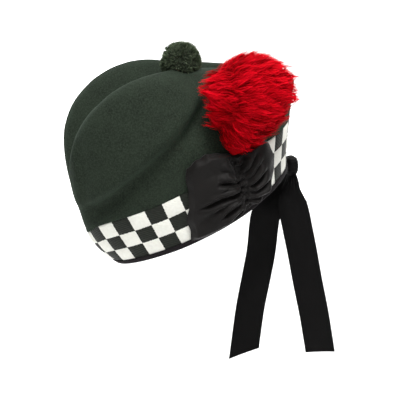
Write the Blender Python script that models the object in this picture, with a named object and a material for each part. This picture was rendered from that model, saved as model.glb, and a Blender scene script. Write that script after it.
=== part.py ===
# Glengarry bonnet: a boat-shaped felt hat with a diced band, a cockade, a hackle and a toorie.
# The wearer faces -Y, the wearer's left is +X and up is +Z. The origin is the centre of the
# head opening. Lengths are in millimetres until a mesh is made.

import math
import bpy
import numpy as np

MM = 0.001

# Head opening and the way it is worn
OPENING_LENGTH = 212.0
OPENING_WIDTH = 152.0
NOSE_TAPER = 0.24
BACK_POINT = 0.34
WORN_PITCH = 25.0

# Band and binding
BAND_HEIGHT = 54.0
BINDING_HEIGHT = 8.5
BINDING_THICKNESS = 1.0
BINDING_BELOW = 0.47
FELT = 3.0
GAP = 0.35

# Crown
CROWN_HEIGHT = 170.0
CROWN_LENGTH = 255.0
CROWN_SHIFT = 24.0
RIDGE_SPREAD = 80.0
CREASE_DEPTH = 25.0
AROUND = 56
WALL_ROWS = 9
TOP_ROWS = 3

# Cockade, on the wearer's left
COCKADE_WIDTH = 110.0
COCKADE_HEIGHT = 74.0
COCKADE_PUFF = 11.0
COCKADE_PLACE = 0.615
COCKADE_BACK = 2.3

# Hackle above it
HACKLE_WIDTH = 82.0
HACKLE_RISE = 41.0
HACKLE_DROP = 60.0
HACKLE_DEPTH = 56.0
HACKLE_LEAN = 14.0
HACKLE_CENTRE = (77.0, 29.5, 137.0)
HACKLE_LOCKS = 90
HACKLE_OFF = 0.65
HACKLE_ABOVE = 3.4

# Toorie on the crease
TOORIE_WIDTH = 39.0
TOORIE_PLACE = 0.60
TOORIE_SIDE = 8.0
TOORIE_LIFT = 8.5
TOORIE_LOCKS = 70
TOORIE_OFF = 0.75

# Ribbon knot and tails at the back
RIBBON_WIDTH = 32.0
RIBBON_THICKNESS = 1.0
KNOT_WIDTH = 26.0
KNOT_DEPTH = 14.0
KNOT_HEIGHT = 22.0
KNOT_OFF = 1.7

# Ridge line: share along the crown from front to back, share of the crown height
RIDGE_LINE = (
    (0.00, 0.58), (0.02, 0.69), (0.05, 0.79), (0.10, 0.90), (0.18, 0.985), (0.24, 1.01), (0.30, 1.02),
    (0.40, 1.015), (0.48, 0.983), (0.53, 0.94), (0.60, 0.888), (0.67, 0.85), (0.76, 0.775),
    (0.85, 0.685), (0.96, 0.57), (1.0, 0.515),
)

# Ridge spread: share along the crown, share of the spread; the toorie is sewn where it narrows
RIDGE_SIDES = (
    (0.0, 0.0), (0.02, 0.12), (0.05, 0.25), (0.10, 0.42), (0.18, 0.68), (0.24, 0.86), (0.30, 0.97),
    (0.38, 1.0), (0.46, 0.93), (0.53, 0.68), (0.60, 0.40), (0.67, 0.36), (0.76, 0.32), (0.85, 0.25),
    (0.96, 0.10), (1.0, 0.0),
)

# Crease: share along the crown, share of the crease depth
CREASE_LINE = (
    (0.0, 0.0), (0.10, 0.5), (0.3, 1.0), (0.45, 0.9), (0.6, 0.45), (0.7, 0.4), (0.8, 0.4),
    (0.93, 0.3), (1.0, 0.0),
)

# Wall shape: share of the half round from front to back, outward lean at the foot and below the
# ridge, as shares of the opening width
WALL_LEAN = (
    (0.0, 0.158, 0.008), (0.12, 0.112, 0.08), (0.3, 0.08, 0.22), (0.55, 0.072, 0.276),
    (0.75, 0.076, 0.21), (0.9, 0.079, 0.07), (1.0, 0.079, -0.02),
)

# Folds in the felt: side, foot and head of the line as shares of opening length and crown height,
# width and depth in millimetres
FELT_FOLDS = (
    (1.0, -0.50, 0.40, 0.26, 0.69, 17.0, 4.6),
    (-1.0, -0.45, 0.42, 0.30, 0.64, 20.0, 3.4),
    (-1.0, 0.10, 0.72, 0.42, 0.45, 18.0, 2.2),
)

# Cockade outline: share of each wing from the gather, foot and head heights as shares of its height
COCKADE_EDGE = (
    (-1.0, 0.02, 0.94), (-0.72, 0.01, 1.05), (-0.45, 0.01, 1.0), (-0.15, 0.02, 0.89), (0.0, 0.03, 0.85),
    (0.4, 0.05, 0.82), (0.75, 0.10, 0.87), (1.0, 0.17, 0.80),
)

# Cockade sides: share of its height, reach of the left and right wings as shares of its width
COCKADE_REACH = (
    (0.0, 0.62, 0.29), (0.35, 0.56, 0.375), (0.6, 0.50, 0.365), (0.8, 0.44, 0.33),
    (0.93, 0.385, 0.29), (1.0, 0.33, 0.26),
)

# Cockade thickness: share of each wing, share of the puff
COCKADE_SWELL = (
    (-1.0, 0.30), (-0.85, 0.72), (-0.5, 0.98), (-0.2, 0.86), (-0.06, 0.42), (0.0, 0.34), (0.07, 0.42),
    (0.25, 0.90), (0.6, 1.0), (0.85, 0.74), (1.0, 0.30),
)

# Cockade pleats: wing, angle above level, width in degrees, depth in millimetres
COCKADE_PLEATS = (
    (-1.0, 60.0, 10.0, 3.4), (-1.0, 31.0, 8.0, 4.8), (-1.0, 11.0, 7.0, 4.6), (-1.0, -8.0, 6.0, 3.2),
    (-1.0, -28.0, 9.0, 3.4), (1.0, 62.0, 11.0, 3.2), (1.0, 34.0, 10.0, 4.4), (1.0, 6.0, 10.0, 4.2),
    (1.0, -24.0, 11.0, 3.4),
)

# Tails: share of the length, side, back and up of the middle line from below the knot, turn of the
# width about the upright
TAIL_LEFT = (
    (0.00, 5.5, 0.0, 0.0, 8.0), (0.045, 10.0, -2.5, -8.5, 24.0), (0.10, 10.5, -4.5, -20.0, 52.0),
    (0.24, 9.0, 1.0, -47.0, 76.0), (0.42, 8.0, 9.2, -82.5, 78.0), (0.58, 9.0, 15.0, -112.5, 74.0),
    (0.80, 10.0, 24.4, -157.0, 76.0), (1.00, 10.0, 32.1, -196.5, 72.0),
)
TAIL_RIGHT = (
    (0.00, -5.5, 0.0, 0.0, -6.0), (0.045, -10.5, -3.0, -9.0, 8.0), (0.10, -13.0, -9.0, -21.0, 34.0),
    (0.24, -20.0, -24.5, -50.0, 70.0), (0.42, -25.5, -26.4, -87.0, 78.0),
    (0.56, -28.5, -30.5, -117.0, 75.0), (0.76, -33.0, -36.5, -158.5, 78.0),
    (1.00, -35.0, -42.4, -209.5, 73.0),
)
TAIL_LEFT_CUT = 2.0
TAIL_RIGHT_CUT = -9.0
TAIL_STEPS = 30


# Smooth curve through the rows of a table, without overshoot
def table(rows, at, column=1):
    xs = np.array([row[0] for row in rows], float)
    ys = np.array([row[column] for row in rows], float)
    slope = np.diff(ys) / np.diff(xs)
    inner = np.zeros(len(slope) - 1)
    for i in range(len(inner)):
        if slope[i] * slope[i + 1] > 0:
            inner[i] = 2 * slope[i] * slope[i + 1] / (slope[i] + slope[i + 1])
    m = np.concatenate([[slope[0]], inner, [slope[-1]]])
    t = np.clip(np.asarray(at, float), xs[0], xs[-1])
    i = np.clip(np.searchsorted(xs, t, side="right") - 1, 0, len(xs) - 2)
    h = xs[i + 1] - xs[i]
    k = (t - xs[i]) / h
    a = (2 * k**3 - 3 * k**2 + 1) * ys[i] + (k**3 - 2 * k**2 + k) * h * m[i]
    b = (-2 * k**3 + 3 * k**2) * ys[i + 1] + (k**3 - k**2) * h * m[i + 1]
    return a + b


# Plan of the opening: side and back for a share of the half round
def rim(u):
    c = -math.cos(math.pi * u)
    width = OPENING_WIDTH * 0.518 * math.sin(math.pi * u) * (0.92 + NOSE_TAPER * c)
    if c > 0:
        c = c - BACK_POINT * (c**3 - c**5)
    return width, OPENING_LENGTH / 2 * c


# One line of felt from the opening up to the crease; the wall and the top come apart
def rib(u, wall_steps=60, top_steps=24):
    side, back = rim(u)
    share = (1 - math.cos(math.pi * u)) / 2
    ridge_side = RIDGE_SPREAD / 2 * float(table(RIDGE_SIDES, share))
    ridge_back = CROWN_SHIFT + CROWN_LENGTH * (share - 0.5)
    ridge_up = CROWN_HEIGHT * float(table(RIDGE_LINE, share))
    ahead, behind = rim(u + 0.001), rim(u - 0.001)
    along = np.array([ahead[0] - behind[0], ahead[1] - behind[1]])
    along = along / np.linalg.norm(along)
    out = np.array([along[1], -along[0], 0.0])
    foot = OPENING_WIDTH * float(table(WALL_LEAN, u, 1))
    head = OPENING_WIDTH * float(table(WALL_LEAN, u, 2))
    p0 = np.array([side, back, BINDING_HEIGHT * BINDING_BELOW])
    p3 = np.array([ridge_side, ridge_back, ridge_up])
    p1 = p0 + out * foot + np.array([0.0, 0.0, ridge_up * 0.36])
    p2 = p3 + out * head - np.array([0.0, 0.0, ridge_up * 0.02])
    t = np.linspace(0, 1, wall_steps)[:, None]
    wall = (1 - t)**3 * p0 + 3 * (1 - t)**2 * t * p1 + 3 * (1 - t) * t**2 * p2 + t**3 * p3
    q = np.linspace(0, 1, top_steps)[:, None]
    drop = CREASE_DEPTH * float(table(CREASE_LINE, share)) * (0.3 * q**2 + 0.7 * np.sin(math.pi * q / 2)**2)
    top = np.concatenate([ridge_side * (1 - q), np.full_like(q, ridge_back), ridge_up - drop], axis=1)
    return wall, top


# Points at given distances up the wall; below the foot the line runs on straight
def up_the_wall(wall, heights):
    step = np.linalg.norm(np.diff(wall, axis=0), axis=1)
    run = np.concatenate([[0.0], np.cumsum(step)])
    heights = np.asarray(heights, float)
    points = np.stack([np.interp(heights, run, wall[:, k]) for k in range(3)], axis=-1)
    below = np.minimum(heights, 0.0)[..., None]
    return points + below * (wall[1] - wall[0]) / step[0]


# Share of the half round for even steps along the band
def even_shares(count):
    us = np.linspace(0, 1, 181)
    line = np.array([up_the_wall(rib(u)[0], BAND_HEIGHT / 2) for u in us])
    run = np.concatenate([[0.0], np.cumsum(np.linalg.norm(np.diff(line, axis=0), axis=1))])
    return np.interp(np.linspace(0, run[-1], count), run, us), us, run


# Felt folds as a push along the wall's outward direction
def fold_push(points, side):
    push = np.zeros(points.shape[:-1])
    for row in FELT_FOLDS:
        if row[0] != side:
            continue
        start = np.array([row[1] * OPENING_LENGTH, row[2] * CROWN_HEIGHT])
        end = np.array([row[3] * OPENING_LENGTH, row[4] * CROWN_HEIGHT])
        length = np.linalg.norm(end - start)
        along = (end - start) / length
        across = np.array([-along[1], along[0]])
        flat = points[..., 1:3] - start
        t = (flat @ along) / length
        d = (flat @ across) / row[5]
        fade = np.clip(1.35 - np.abs(t - 0.5) * 2, 0.0, 0.35) / 0.35
        fade = fade * fade * (3 - 2 * fade)
        push = push + row[6] * fade * (0.8 * np.exp(-(d - 0.55)**2 * 2.4) - np.exp(-(d + 0.5)**2 * 2.4))
    return push


# Tilt of the hat as it is worn
def worn(points):
    a = math.radians(WORN_PITCH)
    p = np.asarray(points, float)
    back = p[..., 1] * math.cos(a) - p[..., 2] * math.sin(a)
    up = p[..., 1] * math.sin(a) + p[..., 2] * math.cos(a)
    return np.stack([p[..., 0], back, up], axis=-1)


# Wall points and their outward directions at a signed share of the half round (left is plus)
def wall_frame(place, heights):
    def line(at):
        at = (at + 1) % 2 - 1
        points = up_the_wall(rib(abs(at))[0], heights)
        if at < 0:
            points = points * np.array([-1.0, 1.0, 1.0])
        return points
    here = line(place)
    round_way = line(place + 0.004) - line(place - 0.004)
    heights = np.asarray(heights, float)
    wall = rib(abs((place + 1) % 2 - 1))[0]
    up_way = up_the_wall(wall, heights + 1.0) - up_the_wall(wall, heights - 1.0)
    if (place + 1) % 2 - 1 < 0:
        up_way = up_way * np.array([-1.0, 1.0, 1.0])
    normal = np.cross(round_way, up_way)
    normal = normal / np.linalg.norm(normal, axis=-1)[..., None]
    return here, normal


# Stations all round, front first, the wearer's left before the right
def stations(count):
    shares = even_shares(count // 2 + 1)[0]
    return np.concatenate([shares, -shares[-2:0:-1]])


# Mesh with one material, welded, closed and facing out
def make_object(name, points, faces, colour, roughness, smooth=55.0):
    seen = {}
    verts = []
    index = []
    for p in points:
        key = (round(float(p[0]), 3), round(float(p[1]), 3), round(float(p[2]), 3))
        if key not in seen:
            seen[key] = len(verts)
            verts.append(tuple(float(c) * MM for c in p))
        index.append(seen[key])
    kept = []
    for face in faces:
        ring = []
        for i in face:
            if index[i] not in ring:
                ring.append(index[i])
        if len(ring) > 2:
            kept.append(ring)
    volume = 0.0
    for ring in kept:
        a = np.array(verts[ring[0]])
        for j in range(1, len(ring) - 1):
            volume += float(np.dot(a, np.cross(verts[ring[j]], verts[ring[j + 1]])))
    if volume < 0:
        kept = [ring[::-1] for ring in kept]
    mesh = bpy.data.meshes.new(name)
    mesh.from_pydata(verts, [], kept)
    mesh.validate()
    mesh.update()
    item = bpy.data.objects.new(name, mesh)
    bpy.context.scene.collection.objects.link(item)
    material = bpy.data.materials.new(name + "_material")
    material.use_nodes = True
    shader = material.node_tree.nodes["Principled BSDF"]
    shader.inputs["Base Color"].default_value = (colour[0], colour[1], colour[2], 1.0)
    shader.inputs["Roughness"].default_value = roughness
    shader.inputs["Metallic"].default_value = 0.0
    material.diffuse_color = (colour[0], colour[1], colour[2], 1.0)
    mesh.materials.append(material)
    mesh.shade_smooth()
    mesh.set_sharp_from_angle(angle=math.radians(smooth))
    return item


# Faces of a grid of points, rows by columns
def grid_faces(rows, columns, first=0, close_rows=False, close_columns=False):
    faces = []
    for r in range(rows if close_rows else rows - 1):
        for c in range(columns if close_columns else columns - 1):
            r2 = (r + 1) % rows
            c2 = (c + 1) % columns
            near = first + r * columns
            far = first + r2 * columns
            faces.append((near + c, far + c, far + c2, near + c2))
    return faces


# Closed section carried round the wall; each corner is a height and an offset outward
def carry_round(section):
    heights = [corner[0] for corner in section]
    offsets = np.array([corner[1] for corner in section])[:, None]
    rings = []
    for place in stations(AROUND):
        here, normal = wall_frame(place, heights)
        rings.append(here + normal * offsets)
    points = worn(np.array(rings).reshape(-1, 3))
    return points, grid_faces(len(rings), len(section), close_rows=True, close_columns=True)


# Outer felt of the crown, one column per station, from above the band to the crease
def felt_columns(places, wall_rows, top_rows, start):
    columns = []
    for place in places:
        wall, top = rib(abs(place))
        length = np.linalg.norm(np.diff(wall, axis=0), axis=1).sum()
        share = np.linspace(0, 1, wall_rows + 1)
        heights = start + (length - start) * share
        here, normal = wall_frame(place, heights)
        ease = np.clip(share * 6, 0, 1) * np.clip((1 - share) * 5, 0, 1)
        side = 1.0 if place >= 0 else -1.0
        push = fold_push(here, side) * ease * min(1.0, 6 * math.sin(math.pi * abs(place)))
        here = here + normal * push[:, None]
        q = np.linspace(0, 1, top_rows + 1)[1:]
        old = np.linspace(0, 1, len(top))
        crest = np.stack([np.interp(q, old, top[:, k]) for k in range(3)], axis=-1)
        if place < 0:
            crest = crest * np.array([-1.0, 1.0, 1.0])
        columns.append(np.concatenate([here, crest]))
    return np.array(columns)


# Outward directions of welded grid columns that meet at the crease
def column_normals(columns):
    count, rows = columns.shape[:2]
    total = {}
    keys = [tuple(np.round(p, 3)) for p in columns.reshape(-1, 3)]
    flat = columns.reshape(-1, 3)
    for face in grid_faces(count, rows, close_rows=True):
        a, b, c, d = (flat[i] for i in face)
        n = np.cross(c - a, d - b)
        for i in face:
            total[keys[i]] = total.get(keys[i], np.zeros(3)) + n
    normals = np.array([total[key] for key in keys])
    normals = normals / np.linalg.norm(normals, axis=1)[:, None]
    middle = flat.mean(axis=0)
    if np.sum(normals * (flat - middle)) < 0:
        normals = -normals
    return normals.reshape(columns.shape)


# Crown: one skin of felt with its inner face parallel to the outer one
def build_crown():
    places = stations(AROUND)
    start = BAND_HEIGHT - BINDING_HEIGHT * BINDING_BELOW + GAP
    columns = felt_columns(places, WALL_ROWS, TOP_ROWS, start)
    normals = column_normals(columns)
    for k, place in enumerate(places):
        normals[k, 0] = wall_frame(place, [start])[1][0]
    inner = columns - normals * FELT
    count, rows = columns.shape[:2]
    points = worn(np.concatenate([columns.reshape(-1, 3), inner.reshape(-1, 3)]))
    outside = grid_faces(count, rows, close_rows=True)
    inside = [face[::-1] for face in grid_faces(count, rows, first=count * rows, close_rows=True)]
    edge = []
    for k in range(count):
        a = k * rows
        b = (k + 1) % count * rows
        edge.append((a, a + count * rows, b + count * rows, b))
    return make_object("crown", points, outside + inside + edge, (0.026, 0.042, 0.030), 0.95, 70.0)


# Diced band: the lower wall
def build_band():
    low = -BINDING_HEIGHT * BINDING_BELOW + BINDING_THICKNESS + GAP
    high = BAND_HEIGHT - BINDING_HEIGHT * BINDING_BELOW
    edge = BINDING_HEIGHT * (1 - BINDING_BELOW)
    rows = [low, edge, edge + (high - edge) / 3, edge + (high - edge) * 2 / 3, high]
    section = [(w, 0.0) for w in rows] + [(w, -FELT) for w in rows[::-1]]
    points, faces = carry_round(section)
    return make_object("diced_band", points, faces, (0.30, 0.31, 0.29), 0.9)


# Rim binding: a ribbon folded over the lower edge
def build_binding():
    low = -BINDING_HEIGHT * BINDING_BELOW
    high = BINDING_HEIGHT * (1 - BINDING_BELOW)
    t = BINDING_THICKNESS
    near = GAP
    far = -FELT - GAP
    foot = low + t
    section = [
        (high, near), (high, near + t), (foot, near + t), (low, near), (low, far), (foot, far - t),
        (high, far - t), (high, far), (foot, far), (foot, near),
    ]
    points, faces = carry_round(section)
    return make_object("rim_binding", points, faces, (0.012, 0.010, 0.011), 0.6)


# Cloud of felt points with outward directions, to keep the trimmings off the felt
def felt_cloud():
    columns = felt_columns(stations(128), 34, 10, -BINDING_HEIGHT * BINDING_BELOW)
    normals = column_normals(columns)
    return worn(columns).reshape(-1, 3), worn(normals).reshape(-1, 3)


# Height of points above the felt
def above_felt(points, cloud):
    spots, normals = cloud
    result = np.empty(len(points))
    for start in range(0, len(points), 400):
        part = points[start:start + 400]
        far = ((part[:, None, :] - spots[None, :, :])**2).sum(axis=2)
        near = far.argmin(axis=1)
        result[start:start + 400] = ((part - spots[near]) * normals[near]).sum(axis=1)
    return result


# Even directions over a ball
def ball_directions(count):
    k = np.arange(count) + 0.5
    up = 1 - 2 * k / count
    turn = k * math.pi * (3 - math.sqrt(5))
    flat = np.sqrt(1 - up**2)
    return np.stack([flat * np.cos(turn), flat * np.sin(turn), up], axis=-1)


# Rounded solid from a reach in each direction, drawn in where it would enter what it rests on
def build_ball(name, centre, reach, rings, segments, clear, colour, roughness, lean=None):
    ways = []
    for r in range(1, rings):
        polar = math.pi * r / rings
        for s in range(segments):
            turn = 2 * math.pi * (s + 0.5 * (r % 2)) / segments
            ways.append((math.sin(polar) * math.cos(turn), math.sin(polar) * math.sin(turn), math.cos(polar)))
    ways += [(0.0, 0.0, 1.0), (0.0, 0.0, -1.0)]
    ways = np.array(ways)
    length = reach(ways)
    lean = lean or (lambda points: points)
    limit = np.zeros(len(ways))
    open_way = np.ones(len(ways), bool)
    for share in np.linspace(0.05, 1, 96):
        points = lean(centre + ways * (length * share)[:, None])
        open_way = open_way & (clear(points) > 0)
        limit = np.where(open_way, share, limit)
    points = lean(centre + ways * (length * np.maximum(limit, 0.05))[:, None])
    faces = []
    for r in range(rings - 2):
        for s in range(segments):
            a = r * segments + s
            b = r * segments + (s + 1) % segments
            c = a + segments
            d = b + segments
            if r % 2 == 1:
                faces += [(a, c, d), (a, d, b)]
            else:
                faces += [(a, c, b), (b, c, d)]
    top = (rings - 1) * segments
    for s in range(segments):
        faces.append((top, s, (s + 1) % segments))
        a = (rings - 2) * segments
        faces.append((top + 1, a + (s + 1) % segments, a + s))
    return make_object(name, points, faces, colour, roughness, 60.0)


# Reach of a head covered in locks: half sizes across, along and up, and down where that differs
def locks(half_sizes, count, lift, spread, power=2.0):
    tips = ball_directions(count)
    half = np.array(half_sizes)

    def reach(ways):
        size = np.tile(half[:3], (len(ways), 1))
        if len(half) > 3:
            size[:, 2] = np.where(ways[:, 2] < 0, half[3], half[2])
        bulge = np.where(ways[:, 2] < 0, power, max(power, 2.3) if len(half) > 3 else power)
        plain = (np.abs(ways / size)**bulge[:, None]).sum(axis=1)**(-1 / bulge)
        near = np.arccos(np.clip(ways @ tips.T, -1, 1)).min(axis=1)
        bump = np.clip(1 - near / math.radians(spread), 0, 1)
        return plain * (1 - lift + lift * bump * 1.4)
    return reach


# Position round the band for a distance from the cockade's gather line
def round_place(distance, us, run):
    return float(np.interp(COCKADE_PLACE * run[-1] + distance, run, us))


# Cockade: two gathered wings of ribbon, flat to the wall behind and pleated in front
def build_cockade():
    columns = 36
    rows = 13
    us, run = even_shares(3)[1:]
    front = []
    behind = []
    for i in range(columns):
        f = -1 + 2 * i / (columns - 1)
        f = math.copysign(abs(f)**1.15, f)
        foot = COCKADE_HEIGHT * float(table(COCKADE_EDGE, f, 1))
        head = COCKADE_HEIGHT * float(table(COCKADE_EDGE, f, 2))
        for j in range(rows):
            g = j / (rows - 1)
            wing = float(table(COCKADE_REACH, g, 1 if f < 0 else 2)) * COCKADE_WIDTH
            p = f * wing
            w = foot + (head - foot) * g
            swell = COCKADE_PUFF * float(table(COCKADE_SWELL, f))
            edge = min(1.0, 4.5 * g + 0.25, 4.5 * (1 - g) + 0.25)
            angle = math.degrees(math.atan2(w - COCKADE_HEIGHT * 0.33, max(abs(p), 4.0)))
            pleat = 0.0
            for row in COCKADE_PLEATS:
                if row[0] * f > 0:
                    pleat += row[3] * math.exp(-((angle - row[1]) / row[2])**2)
            fade = min(1.0, abs(p) / 14.0) * min(1.0, (1.05 - abs(f)) * 2.2)
            thick = max(1.6, swell * edge - pleat * fade)
            here, normal = wall_frame(round_place(p, us, run), [w])
            behind.append(here[0] + normal[0] * COCKADE_BACK)
            front.append(here[0] + normal[0] * (COCKADE_BACK + thick))
    count = columns * rows
    points = worn(np.array(front + behind))
    faces = grid_faces(columns, rows) + [face[::-1] for face in grid_faces(columns, rows, first=count)]
    loop = [c * rows for c in range(columns)] + [(columns - 1) * rows + r for r in range(1, rows)]
    loop += [c * rows + rows - 1 for c in range(columns - 2, -1, -1)] + [r for r in range(rows - 2, 0, -1)]
    for k in range(len(loop)):
        a = loop[k]
        b = loop[(k + 1) % len(loop)]
        faces.append((a, a + count, b + count, b))
    return make_object("cockade", points, faces, (0.018, 0.016, 0.016), 0.45, 50.0)


# Ribbon tail: a thin strip carried down its middle line, cut aslant at the end
def build_tail(name, rows, cut, start):
    share = np.linspace(0, 1, TAIL_STEPS)
    middle = start + np.stack([table(rows, share, k) for k in (1, 2, 3)], axis=-1)
    turn = np.radians(table(rows, share, 4))
    across = np.stack([np.cos(turn), np.sin(turn), np.zeros_like(turn)], axis=-1)
    down = np.gradient(middle, axis=0)
    down = down / np.linalg.norm(down, axis=1)[:, None]
    across = across - down * (across * down).sum(axis=1)[:, None]
    across = across / np.linalg.norm(across, axis=1)[:, None]
    face = np.cross(across, down)
    points = []
    lanes = np.array([-0.5, -0.17, 0.17, 0.5])
    for k in range(TAIL_STEPS):
        wide = RIBBON_WIDTH * (0.30 + 0.70 * min(1.0, share[k] / 0.13)**0.7)
        slant = cut * max(0.0, share[k] - 0.9) / 0.1
        cup = 1.6 * math.sin(share[k] * 7.0)
        for sign, order in ((0.5, lanes), (-0.5, lanes[::-1])):
            for lane in order:
                bend = cup * (1 - (2 * lane)**2)
                spot = middle[k] + across[k] * lane * wide + face[k] * (bend + sign * RIBBON_THICKNESS)
                points.append(spot + down[k] * slant * lane)
    faces = grid_faces(TAIL_STEPS, 8, close_columns=True)
    last = (TAIL_STEPS - 1) * 8
    for k in range(3):
        faces.append((k, k + 1, 6 - k, 7 - k))
        faces.append((last + k + 1, last + k, last + 7 - k, last + 6 - k))
    return make_object(name, points, faces, (0.008, 0.008, 0.008), 0.7, 50.0)


# Clear the scene
for item in list(bpy.data.objects):
    bpy.data.objects.remove(item, do_unlink=True)

cloud = felt_cloud()
build_crown()
build_band()
build_binding()
cockade = build_cockade()

# Hackle, kept off the felt and above the cockade
cockade_spots = np.array([vertex.co[:] for vertex in cockade.data.vertices]) / MM


def hackle_clear(points):
    felt = above_felt(points, cloud) - HACKLE_OFF
    off = np.sqrt(((points[:, None, :] - cockade_spots[None, :, :])**2).sum(axis=2).min(axis=1)) - HACKLE_ABOVE
    return np.minimum(felt, off)


# The plume leans forward below its widest part, towards the pocket that holds it
def hackle_lean(points):
    fall = np.clip((HACKLE_CENTRE[2] - points[:, 2]) / HACKLE_DROP, 0, 1.2)
    return points - np.stack([0 * fall, HACKLE_LEAN * fall**2, 0 * fall], axis=-1)


build_ball(
    "hackle", np.array(HACKLE_CENTRE),
    locks((HACKLE_DEPTH / 2, HACKLE_WIDTH / 2, HACKLE_RISE, HACKLE_DROP), HACKLE_LOCKS, 0.10, 15.0, 1.55),
    27, 36, hackle_clear, (0.45, 0.002, 0.004), 0.8, hackle_lean,
)

# Toorie, seated in the crease
toorie_back = CROWN_SHIFT + CROWN_LENGTH * (TOORIE_PLACE - 0.5)
toorie_up = CROWN_HEIGHT * float(table(RIDGE_LINE, TOORIE_PLACE)) + TOORIE_LIFT
toorie_centre = worn(np.array([TOORIE_SIDE, toorie_back, toorie_up]))
build_ball(
    "toorie", toorie_centre, locks((TOORIE_WIDTH / 2,) * 3, TOORIE_LOCKS, 0.08, 17.0), 20, 28,
    lambda points: above_felt(points, cloud) - TOORIE_OFF, (0.035, 0.045, 0.030), 0.95,
)

# Knot at the back of the opening
back_edge = worn(np.array([0.0, OPENING_LENGTH / 2, BINDING_HEIGHT * BINDING_BELOW]))
knot_centre = back_edge + np.array([0.0, KNOT_DEPTH / 2 + 1.0, 1.5])
build_ball(
    "ribbon_knot", knot_centre,
    locks((KNOT_WIDTH / 2, KNOT_DEPTH / 2, KNOT_HEIGHT / 2), 9, 0.08, 46.0, 2.8), 14, 20,
    lambda points: above_felt(points, cloud) - KNOT_OFF, (0.010, 0.010, 0.010), 0.5,
)

tail_start = knot_centre - np.array([0.0, 0.0, KNOT_HEIGHT * 0.49 + RIBBON_THICKNESS * 0.6])
build_tail("tail_left", TAIL_LEFT, TAIL_LEFT_CUT, tail_start)
build_tail("tail_right", TAIL_RIGHT, TAIL_RIGHT_CUT, tail_start)
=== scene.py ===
# Looks of a glengarry bonnet: felted wool crown, diced wool band, ribbon binding, gathered cockade,
# feather hackle, yarn toorie and ribbon tails. Shapes are worked out in millimetres and the meshes
# are in metres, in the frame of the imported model.

import math

import bpy
import numpy as np
from mathutils.kdtree import KDTree
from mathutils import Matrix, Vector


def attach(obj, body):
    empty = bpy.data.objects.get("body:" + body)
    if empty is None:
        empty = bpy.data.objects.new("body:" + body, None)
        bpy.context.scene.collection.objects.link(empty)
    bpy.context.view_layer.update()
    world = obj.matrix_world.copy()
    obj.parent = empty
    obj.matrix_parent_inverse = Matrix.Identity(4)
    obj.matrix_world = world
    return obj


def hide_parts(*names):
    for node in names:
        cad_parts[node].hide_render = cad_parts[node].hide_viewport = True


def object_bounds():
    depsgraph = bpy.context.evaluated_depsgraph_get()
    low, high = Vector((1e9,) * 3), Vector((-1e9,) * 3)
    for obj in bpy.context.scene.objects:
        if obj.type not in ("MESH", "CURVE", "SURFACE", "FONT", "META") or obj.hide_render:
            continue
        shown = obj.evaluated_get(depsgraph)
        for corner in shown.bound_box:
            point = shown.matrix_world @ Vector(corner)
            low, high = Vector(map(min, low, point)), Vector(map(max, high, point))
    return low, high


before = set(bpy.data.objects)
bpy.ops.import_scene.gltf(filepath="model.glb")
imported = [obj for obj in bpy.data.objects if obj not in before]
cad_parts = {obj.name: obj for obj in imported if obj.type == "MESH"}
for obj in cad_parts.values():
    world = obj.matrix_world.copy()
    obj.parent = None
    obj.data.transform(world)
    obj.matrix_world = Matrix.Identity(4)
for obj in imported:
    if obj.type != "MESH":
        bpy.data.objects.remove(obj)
cad_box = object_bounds()

MM = 0.001
SEED = 11

# Head opening and the way it is worn; the nose is narrower and cut back, the back comes to a point
OPENING_LENGTH = 212.0
OPENING_WIDTH = 152.0
NOSE_TAPER = 0.24
BACK_POINT = 0.34
NOSE_CUT = 0.055
WORN_PITCH = 25.0

# Binding. Heights up the wall count from a little above the opening's plane; at the front, RIM_LOW lies
# in that plane. It is the binding's lower edge, and BINDING_SHOWN above it the squares start
BINDING_HEIGHT = 8.5
BINDING_THICKNESS = 1.0
BINDING_SHOWN = 6.2
BINDING_BEND = 1.6
BINDING_STATIONS = 360
RIM_LOW = -0.47 * BINDING_HEIGHT
STITCH_WAVE = 0.075

# Band: squares counted from CHECK_START of a square past the front, each drawn with so many steps
BAND_HEIGHT = 54.0
CHECK_COLUMNS = 32
CHECK_ROWS = 3
CHECK_START = 0.623
CHECK_STEPS = 12
CHECK_ROW_STEPS = 11
CHECK_PUFF = 0.7
DARK_PUFF = 0.35
SEAM_SINK = 0.25
SEAM_ROUND = 5
STITCH_SCALE = 3.2

# Period of the wave texture at a scale of 1
WAVE_PERIOD = 2 * math.pi / 20

# Felt thickness, the gap left between cloth pieces that lie on each other, and how far fibres and the
# knot stay off the felt
FELT = 3.0
GAP = 0.35
HEAD_OFF = 0.9
BARB_OFF = 0.8
YARN_OFF = 0.6
KNOT_OFF = 1.75

# Crown
CROWN_HEIGHT = 170.0
CROWN_LENGTH = 255.0
CROWN_SHIFT = 24.0
RIDGE_SPREAD = 80.0
CREASE_DEPTH = 25.0
CREASE_NARROW = 0.6
CREASE_FROM = 80.0
WALL_STEEPNESS = 0.36
WALL_SHOULDER = 0.02
CROWN_STATIONS = 288
CROWN_WALL_ROWS = 84
CROWN_TOP_ROWS = 18
CHART_STATIONS = 120
CHART_WALL_STEPS = 60
CHART_TOP_STEPS = 14

# The felt hangs NOSE_DIP lower over the band at the nose, which fades over a share of the half round
NOSE_DIP = 9.0
NOSE_DIP_REACH = 0.12
NOSE_HANG = 0.05

# The crown leans to its left: it drops by CROWN_ROLL for each millimetre to the left, from a height of
# ROLL_FOOT on and in full ROLL_FADE above that
CROWN_ROLL = 0.07
ROLL_FOOT = 80.0
ROLL_FADE = 60.0

# Cockade
COCKADE_WIDTH = 110.0
COCKADE_HEIGHT = 69.5
COCKADE_PUFF = 11.0
COCKADE_PLACE = 0.615
COCKADE_BACK = 2.3
COCKADE_COLUMNS = 260
COCKADE_ROWS = 120
COCKADE_LEAST = 0.9
GATHER_HEIGHT = 0.33

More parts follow.
